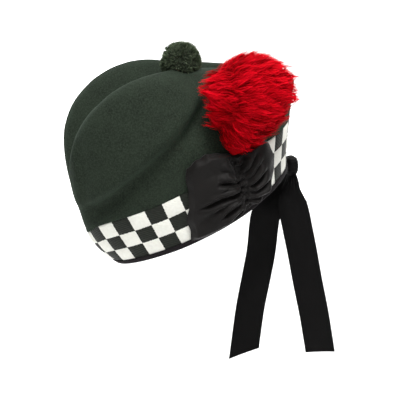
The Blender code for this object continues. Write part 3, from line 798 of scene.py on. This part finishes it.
# Depth of the cockade's creases, each a slit with a raised fold beside it that fades at both ends
def crease_depths(p, w):
    depths = np.zeros_like(p)
    for p0, w0, p1, w1, width, depth in COCKADE_CREASES:
        length = math.hypot(p1 - p0, w1 - w0)
        along = ((p - p0) * (p1 - p0) + (w - w0) * (w1 - w0)) / length
        bow = 1.6 * np.sin(math.pi * np.clip(along / length, 0, 1))
        across = (-(p - p0) * (w1 - w0) + (w - w0) * (p1 - p0)) / length + bow
        fade = ease(along / 4 + 0.5) * ease((length - along) / (length * 0.45))
        slit = np.exp(-np.abs(across / width)**1.5)
        fold = np.exp(-((np.abs(across) - 2.6 * width) / (1.5 * width))**2)
        depths = depths + depth * fade * (slit - 0.28 * fold)
    return depths


# Cockade of gathered ribbon: swelling wings with sharp creases that run out from the gather
def build_cockade(material):
    columns = COCKADE_COLUMNS
    rows = COCKADE_ROWS
    f = np.linspace(-1, 1, columns)
    f = np.sign(f) * np.abs(f)**1.1
    g = np.linspace(0, 1, rows)
    foot = COCKADE_HEIGHT * table(COCKADE_EDGE, f, 1)
    head = COCKADE_HEIGHT * table(COCKADE_EDGE, f, 2)
    left = table(COCKADE_REACH, g, 1)
    right = table(COCKADE_REACH, g, 2)
    reach = np.where(f[:, None] < 0, left[None, :], right[None, :]) * COCKADE_WIDTH
    wobble = 1 + 0.012 * wander(5, g * 22)[None, :] * np.abs(f)[:, None]**3
    p = f[:, None] * reach * wobble
    w = foot[:, None] + (head - foot)[:, None] * g[None, :]
    w = w + 1.1 * wander(6, f * 16)[:, None] * (g**4)[None, :]
    swell = COCKADE_PUFF * table(COCKADE_SWELL, f)[:, None]
    edge = np.sqrt(np.clip(np.minimum(g, 1 - g) * 14, 0.04, 1))[None, :]
    edge = edge * np.sqrt(np.clip((1 - np.abs(f)) * 9, 0.03, 1))[:, None]
    raised = w + float(table(RIM_RISE, COCKADE_PLACE))
    pleat = crease_depths(p, raised)
    for side, up, width, depth in GATHER_PITS:
        pleat = pleat + depth * np.exp(-((p - side)**2 + (raised - up)**2) / width**2)
    pucker = 1.2 * np.sin(w * 0.95 + 0.8 * np.sin(p * 0.8)) * np.exp(-(np.abs(p) / 6)**2)
    rise = w - COCKADE_HEIGHT * GATHER_HEIGHT
    angle = np.degrees(np.arctan2(rise, np.maximum(np.abs(p), 3.0))) * np.sign(p)
    cloth = 0.5 * wander(11, angle / 6, np.hypot(p, rise) / 40) * ease(np.hypot(p, rise) / 12)
    cloth = cloth + 0.35 * wander(8, p / 7, w / 9) + 0.18 * wander(9, p / 3.1, w / 3.4)
    thick = swell * (1.05 + 0.06 * wander(10, p / 16, w / 18)) * edge - pleat * edge + (pucker + cloth) * edge
    thick = np.maximum(thick, COCKADE_LEAST)
    spot, normal = on_wall(COCKADE_PLACE * HALF_ROUND + p, w)
    front = spot + normal * (COCKADE_BACK + thick)[..., None]
    behind = spot + normal * COCKADE_BACK
    points = worn(np.concatenate([front.reshape(-1, 3), behind.reshape(-1, 3)]))
    count = columns * rows
    faces = [grid_quads(columns, rows), grid_quads(columns, rows, start=count)[:, ::-1]]
    loop = [c * rows for c in range(columns)] + [(columns - 1) * rows + r for r in range(1, rows)]
    loop += [c * rows + rows - 1 for c in range(columns - 2, -1, -1)] + [r for r in range(rows - 2, 0, -1)]
    loop = np.array(loop)
    after = np.roll(loop, -1)
    faces.append(np.stack([loop, loop + count, after + count, after], axis=-1))
    faces = np.concatenate(faces)
    uv = np.stack([np.tile(p.reshape(-1), 2), np.tile(w.reshape(-1), 2)], axis=-1)[faces] * MM
    return make_piece("cockade_ribbon", points, faces, material, "cockade", uv=uv)


# Strips that taper to a tip, as one mesh: roots, tips and side ways by row
def make_strips(roots, tips, bends, sides, widths, steps):
    t = np.linspace(0, 1, steps + 1)
    t3 = t[None, :, None]
    middle = roots[:, None] * (1 - t3) + tips[:, None] * t3 + bends[:, None] * (4 * t3 * (1 - t3))
    taper = (1 - 0.9 * t)**0.8
    wide = sides[:, None] * (widths[:, None] * taper[None, :])[..., None] / 2
    pair = np.stack([middle - wide, middle + wide], axis=2)
    points = pair.reshape(-1, 3)
    one = np.arange(steps)[:, None] * 2 + np.array([[0, 1, 3, 2]])
    faces = (np.arange(len(roots))[:, None, None] * (steps + 1) * 2 + one[None]).reshape(-1, 4)
    return points, faces, np.tile(np.repeat(t, 2), len(roots))


# Even directions over a ball
def ball_directions(count):
    k = np.arange(count) + 0.5
    up = 1 - 2 * k / count
    turn = k * math.pi * (3 - math.sqrt(5))
    flat = np.sqrt(1 - up**2)
    return np.stack([flat * np.cos(turn), flat * np.sin(turn), up], axis=-1)


# Reach of the plume in each direction
def hackle_reach(ways):
    size = np.tile(np.array([HACKLE_DEPTH / 2, HACKLE_WIDTH / 2, HACKLE_RISE]), (len(ways), 1))
    size[:, 2] = np.where(ways[:, 2] < 0, HACKLE_DROP, HACKLE_RISE)
    bulge = np.where(ways[:, 2] < 0, 1.72, 2.3)
    return (np.abs(ways / size)**bulge[:, None]).sum(axis=1)**(-1 / bulge)


# The plume leans forward below its widest part, towards the pocket that holds it
def hackle_lean(points):
    fall = np.clip((HACKLE_CENTRE[2] - points[:, 2]) / HACKLE_DROP, 0, 1.2)
    return points - np.stack([0 * fall, HACKLE_LEAN * fall**2, 0 * fall], axis=-1)


# Ball of quads from rows of directions
def ball_grid(rings, segments):
    polar = (np.arange(rings) + 0.5) / rings * math.pi
    turn = np.arange(segments) / segments * 2 * math.pi
    ways = np.stack([
        np.sin(polar)[:, None] * np.cos(turn)[None, :], np.sin(polar)[:, None] * np.sin(turn)[None, :],
        np.cos(polar)[:, None] + 0 * turn[None, :],
    ], axis=-1)
    return ways.reshape(-1, 3), grid_quads(rings, segments, close_second=True)


# Points drawn to stay outside the felt
def off_the_felt(points, chart, least):
    spots, normals, tree = chart
    result = np.array(points)
    for k, point in enumerate(points):
        near = tree.find(point)[1]
        lift = float(np.dot(point - spots[near], normals[near]))
        if lift < least:
            result[k] += normals[near] * (least - lift)
    return result


# Points of the crown without its folds, with outward directions, to keep the trimmings off the felt
def felt_chart():
    places = round_places(CHART_STATIONS)
    columns = []
    for place in places:
        wall, top = rib(abs(place), CHART_WALL_STEPS, CHART_TOP_STEPS)
        columns.append(on_its_side(np.concatenate([wall, top[1:]]), place))
    columns = np.array(columns)
    lean_crown(columns)
    normals = crown_normals(columns)
    spots = worn(columns).reshape(-1, 3)
    tree = KDTree(len(spots))
    for k, spot in enumerate(spots):
        tree.insert(spot, k)
    tree.balance()
    return spots, worn(normals).reshape(-1, 3), tree


# Hackle: a head, painted dark as shade, under thousands of barbs, combed backward in wavy tufts, forward at
# its front;
# three tufts in ten reach past the outline, which makes it ragged
def build_hackle(material, chart):
    rng = np.random.default_rng(SEED)
    centre = np.array(HACKLE_CENTRE)
    ways, faces = ball_grid(40, 60)
    ripple = 1 + 0.05 * wander(20, ways[:, 0] * 7, ways[:, 1] * 7, ways[:, 2] * 9)
    head = hackle_lean(centre + ways * (hackle_reach(ways) * HACKLE_HEAD * ripple)[:, None])
    head = off_the_felt(head, chart, HEAD_OFF)
    tufts = HACKLE_TUFTS
    per_tuft = BARBS_PER_TUFT
    heads = unit(ball_directions(tufts) + rng.normal(0, 0.05, (tufts, 3)))
    comb = np.where((heads[:, 1] < -0.62) & (rng.random(tufts) < 0.65), -1.0, 1.0)
    rise = 0.10 + 0.22 * np.sin(heads[:, 2] * 8 + heads[:, 1] * 4) + 0.12 * rng.normal(0, 1, tufts)
    flow = np.stack([0.05 * rng.normal(0, 1, tufts), comb, rise], axis=-1)
    flow = unit(flow - heads * (flow * heads).sum(axis=1)[:, None] * 0.75)
    size = hackle_reach(heads)
    root = centre + heads * (size * HACKLE_ROOT)[:, None]
    length = rng.uniform(*TUFT_LENGTH, tufts)
    tip = root + (flow * 0.93 + heads * 0.42) * length[:, None]
    reach_now = np.linalg.norm(tip - centre, axis=1)
    most = hackle_reach(unit(tip - centre)) * np.where(rng.random(tufts) < 0.3, 1.27, 1.03)
    tip = centre + (tip - centre) * np.minimum(1, most / reach_now)[:, None]
    count = tufts * per_tuft
    spread = rng.normal(0, 1, (count, 3))
    roots = np.repeat(root, per_tuft, axis=0) + spread * 2.2
    tips = np.repeat(tip, per_tuft, axis=0) + spread * 0.9 + rng.normal(0, 0.8, (count, 3))
    short = rng.uniform(0.0, 0.4, count)[:, None]
    tips = tips * (1 - short) + roots * short
    outward = np.repeat(heads, per_tuft, axis=0)
    bends = outward * rng.normal(0.9, 0.7, (count, 1))
    bends = bends + np.repeat(rng.normal(0, 0.9, (tufts, 3)), per_tuft, axis=0)
    sides = unit(np.cross(tips - roots, outward + rng.normal(0, 0.3, outward.shape)))
    widths = rng.uniform(*BARB_WIDTH, count)
    points, strips, along = make_strips(roots, tips, bends, sides, widths, BARB_STEPS)
    points = off_the_felt(hackle_lean(points), chart, BARB_OFF)
    corners = 2 * (BARB_STEPS + 1)
    tone = np.repeat(np.clip(rng.normal(0.55, 0.15, count), 0, 1), corners)
    tuft_tone = np.repeat(rng.normal(0, 0.10, tufts), per_tuft * corners)
    # Painted shade: barbs are darker towards their roots, over each barb's and tuft's random tone
    tone_and_painted_shading = np.clip(0.28 + 0.6 * along * (0.4 + tone) + tuft_tone, 0, 1)
    # Painted shade: the head under the barbs is dark
    tone_and_painted_shading = np.concatenate([np.full(len(head), 0.15), tone_and_painted_shading])
    every = np.concatenate([faces, strips + len(head)])
    return make_piece("hackle_barbs", np.concatenate([head, points]), every, material, "hackle", tone_and_painted_shading=tone_and_painted_shading)


# Toorie: a wool ball of cut yarn ends, with painted shade towards its core and a painted highlight on ends
# that point up
def build_toorie(material, chart):
    rng = np.random.default_rng(SEED + 1)
    back = CROWN_SHIFT + CROWN_LENGTH * (TOORIE_PLACE - 0.5)
    up = CROWN_HEIGHT * float(table(RIDGE_LINE, TOORIE_PLACE)) + TOORIE_LIFT
    centre = worn(np.array([TOORIE_SIDE, back, up]))
    radius = TOORIE_WIDTH / 2
    ways, faces = ball_grid(36, 52)
    lumps = 1 + 0.045 * wander(30, ways[:, 0] * 8, ways[:, 1] * 8, ways[:, 2] * 8)
    head = off_the_felt(centre + ways * (radius * 0.86 * lumps)[:, None], chart, HEAD_OFF)
    yarns = TOORIE_YARNS
    per_yarn = ENDS_PER_YARN
    heads = unit(ball_directions(yarns) + rng.normal(0, 0.03, (yarns, 3)))
    lean = unit(heads + rng.normal(0, 0.28, heads.shape))
    size = radius * (1 + 0.04 * wander(31, heads[:, 0] * 6, heads[:, 1] * 6, heads[:, 2] * 6))
    root = centre + heads * (size * 0.78)[:, None]
    tip = centre + heads * (size * 0.9)[:, None] + lean * (size * 0.11)[:, None]
    roots = np.repeat(root, per_yarn, axis=0) + rng.normal(0, 0.42, (yarns * per_yarn, 3))
    tips = np.repeat(tip, per_yarn, axis=0) + rng.normal(0, 0.55, (yarns * per_yarn, 3))
    outward = np.repeat(heads, per_yarn, axis=0)
    sides = unit(np.cross(tips - roots, rng.normal(0, 1, outward.shape)))
    widths = rng.uniform(*END_WIDTH, len(roots))
    bends = rng.normal(0, 0.35, roots.shape)
    points, strips, along = make_strips(roots, tips, bends, sides, widths, END_STEPS)
    points = off_the_felt(points, chart, YARN_OFF)
    corners = 2 * (END_STEPS + 1)
    tone = np.repeat(np.repeat(rng.normal(0, 0.2, yarns), per_yarn), corners)
    # Painted light: ends that point up are lighter; painted shade: ends are darker towards their roots, and
    # the core under them is dark
    above = np.repeat(outward[:, 2], corners)
    tone_and_painted_shading = np.clip(0.1 + 0.55 * along + tone + 0.15 * above, 0, 1)
    tone_and_painted_shading = np.concatenate([np.full(len(head), 0.1), tone_and_painted_shading])
    every = np.concatenate([faces, strips + len(head)])
    return make_piece("toorie_yarn", np.concatenate([head, points]), every, material, "toorie", tone_and_painted_shading=tone_and_painted_shading)


# Middle of the knot behind the back of the opening, further forward where the rim rises
def knot_middle():
    back_edge = worn(np.array([0.0, OPENING_LENGTH / 2, -RIM_LOW]))
    lean = RIM_RISE[-1][1] * math.sin(math.radians(WORN_PITCH))
    return back_edge + np.array([0.0, KNOT_DEPTH / 2 + 0.8 - lean, 1.5])


# Knot of ribbon: a folded wrap with creases drawn to its middle
def build_knot(material, chart):
    ways, faces = ball_grid(70, 110)
    half = np.array([KNOT_WIDTH / 2, KNOT_DEPTH / 2, KNOT_HEIGHT / 2])
    reach = (np.abs(ways / half)**KNOT_ROUNDING).sum(axis=1)**(-1 / KNOT_ROUNDING)
    spot = ways * reach[:, None]
    waist = np.exp(-(spot[:, 0] / 4.2)**2)
    folds = np.sin(spot[:, 2] * 0.95 + 1.2 * np.sin(spot[:, 0] * 0.25))
    reach = reach * (0.97 - 0.05 * (1 - waist) * np.abs(folds)**0.5 - 0.04 * np.abs(waist - 0.5) * 2)
    points = off_the_felt(knot_middle() + ways * reach[:, None], chart, KNOT_OFF)
    uv = np.stack([spot[:, 0], spot[:, 2]], axis=-1)[faces] * MM
    return make_piece("knot_ribbon", points, faces, material, "ribbon_knot", uv=uv)


# Ribbon tail with a woven edge, soft waves and a slanting cut
def build_tail(name, rows, cut, material, node):
    start = knot_middle() - np.array([0.0, 0.0, KNOT_HEIGHT * 0.49 + RIBBON_THICKNESS * 0.6])
    steps = TAIL_STEPS
    lanes = TAIL_LANES
    share = np.linspace(0, 1, steps)
    middle = start + np.stack([table(rows, share, k) for k in (1, 2, 3)], axis=-1)
    turn = np.radians(table(rows, share, 4))
    across = np.stack([np.cos(turn), np.sin(turn), np.zeros_like(turn)], axis=-1)
    down = unit(np.gradient(middle, axis=0))
    across = unit(across - down * (across * down).sum(axis=1)[:, None])
    face = np.cross(across, down)
    lane = np.linspace(-0.5, 0.5, lanes)
    wide = RIBBON_WIDTH * (0.36 + 0.64 * np.minimum(1.0, share / 0.13)**0.7)
    slant = cut * np.maximum(0.0, share - 0.9) / 0.1
    cup = 1.6 * np.sin(share * 7.0)
    gathers = 0.9 * np.exp(-share / 0.06)
    bend = cup[:, None] * (1 - (2 * lane)**2)[None, :]
    bend = bend + gathers[:, None] * np.sin(lane * 26)[None, :]
    down_lanes, over_lanes = np.meshgrid(share, lane, indexing="ij")
    bend = bend + 0.25 * wander(40, down_lanes * 9, over_lanes * 3)
    spine = middle[:, None] + across[:, None] * (lane[None, :] * wide[:, None])[..., None]
    spine = spine + face[:, None] * bend[..., None]
    spine = spine + down[:, None] * (slant[:, None] * lane[None, :])[..., None]
    half = RIBBON_THICKNESS * 0.4 * (1 - 0.35 * np.abs(2 * lane)**8)[None, :, None]
    grid = np.concatenate([spine + face[:, None] * half, (spine - face[:, None] * half)[:, ::-1]], axis=1)
    count = lanes * 2
    faces = [grid_quads(steps, count, close_second=True)]
    k = np.arange(lanes - 1)
    last = (steps - 1) * count
    faces.append(np.stack([k, k + 1, count - 2 - k, count - 1 - k], axis=-1))
    faces.append(np.stack([last + k + 1, last + k, last + count - 1 - k, last + count - 2 - k], axis=-1))
    faces = np.concatenate(faces)
    run = np.concatenate([[0], np.cumsum(np.linalg.norm(np.diff(middle, axis=0), axis=1))])
    u = np.concatenate([lane, lane[::-1]]) * RIBBON_WIDTH
    uv = np.stack([u[faces % count], run[faces // count]], axis=-1) * MM
    piece = make_piece(name, grid.reshape(-1, 3), faces, material, node, uv=uv)
    return piece


# Soft even light from all round, and three lamps
def build_lights(scene):
    world = bpy.data.worlds.new("studio")
    scene.world = world
    world.use_nodes = True
    background = world.node_tree.nodes["Background"].inputs
    background["Color"].default_value = (1.0, 1.0, 1.0, 1.0)
    background["Strength"].default_value = WORLD_STRENGTH
    for name, spot, size, watts in LAMPS:
        light = bpy.data.lights.new(name, "AREA")
        light.size = size
        light.energy = watts
        lamp = bpy.data.objects.new(name, light)
        lamp.location = spot
        x, y, z = np.array(LAMP_AIM) - np.array(spot)
        tilt = math.pi / 2 + math.atan2(z, math.hypot(x, y))
        lamp.rotation_euler = (tilt, 0.0, math.atan2(y, x) - math.pi / 2)
        scene.collection.objects.link(lamp)


# Flat sheet of the studio, which isn't part of the hat
def add_stage_sheet(name, corners, material):
    mesh = bpy.data.meshes.new(name)
    mesh.from_pydata(corners, [], [(0, 1, 2, 3)])
    mesh.materials.append(material)
    sheet = bpy.data.objects.new(name, mesh)
    bpy.context.scene.collection.objects.link(sheet)


# Pale matt floor, and a card that glows white on the hat's far side, behind it in the photo's view
def build_ground():
    low = cad_box[0][2] - FLOOR_BELOW
    matt = {"Roughness": 1.0, "Specular_IOR_Level": 0.0}
    pale = start_material("pale_floor", Base_Color=(0.98, 0.98, 0.98, 1.0), **matt)[0]
    corners = [(-FLOOR_HALF, -FLOOR_HALF), (FLOOR_HALF, -FLOOR_HALF), (FLOOR_HALF, FLOOR_HALF)]
    corners += [(-FLOOR_HALF, FLOOR_HALF)]
    add_stage_sheet("floor", [(side, back, low) for side, back in corners], pale)
    white = (1.0, 1.0, 1.0, 1.0)
    lit = start_material("lit_white_card", Emission_Color=white, Emission_Strength=1.0, **matt)[0]
    corners = [(-CARD_HALF, 0), (CARD_HALF, 0), (CARD_HALF, CARD_HEIGHT), (-CARD_HALF, CARD_HEIGHT)]
    add_stage_sheet("white_card", [(CARD_AWAY, back, low + up) for back, up in corners], lit)


# Camera in the photograph's place
def build_camera(scene):
    a = math.radians(CAMERA_TURN)
    e = math.radians(CAMERA_RISE)
    right = np.array([math.sin(a), math.cos(a), 0.0])
    up = np.array([-math.sin(e) * math.cos(a), math.sin(e) * math.sin(a), math.cos(e)])
    toward = np.array([math.cos(e) * math.cos(a), -math.cos(e) * math.sin(a), math.sin(e)])
    lens = bpy.data.cameras.new("camera")
    lens.sensor_width = SENSOR
    lens.lens = SENSOR * CAMERA_AWAY / FRAME_WIDTH
    camera = bpy.data.objects.new("camera", lens)
    camera.location = right * FRAME_RIGHT + up * FRAME_UP + toward * CAMERA_AWAY
    camera.rotation_euler = (math.pi / 2 - e, 0.0, math.pi / 2 - a)
    scene.collection.objects.link(camera)
    scene.camera = camera


scene = bpy.context.scene
scene.view_settings.view_transform = "Standard"
build_lights(scene)
build_ground()
build_camera(scene)
chart = felt_chart()
felt = felted_wool()
build_crown(felt)
build_band(diced_wool(), felt)
build_binding(ribbed_ribbon("ribbed_binding_ribbon_black", "#120f11", "#1c181a", 0.7, 0.5655, 0.03, 0.08))
build_cockade(ribbed_ribbon("silk_ribbon_black", "#11100f", "#1b1918", 0.5, 0.4398, 0.04, 0.09))
build_hackle(dyed_fibre_painted_shading("dyed_feather_red", "#600004", "#b4000d", "#e60b21", 0.8, 0.0), chart)
build_toorie(dyed_fibre_painted_shading("cut_wool_yarn_green", "#22281f", "#48543f", "#76846a", 0.9, 0.1), chart)
ribbon = ribbed_ribbon("silk_tail_ribbon_black", "#090909", "#100f0f", 0.65, 0.5027, 0.01, 0.05)
build_knot(ribbon, chart)
build_tail("tail_ribbon_left", TAIL_LEFT, TAIL_LEFT_CUT, ribbon, "tail_left")
build_tail("tail_ribbon_right", TAIL_RIGHT, TAIL_RIGHT_CUT, ribbon, "tail_right")
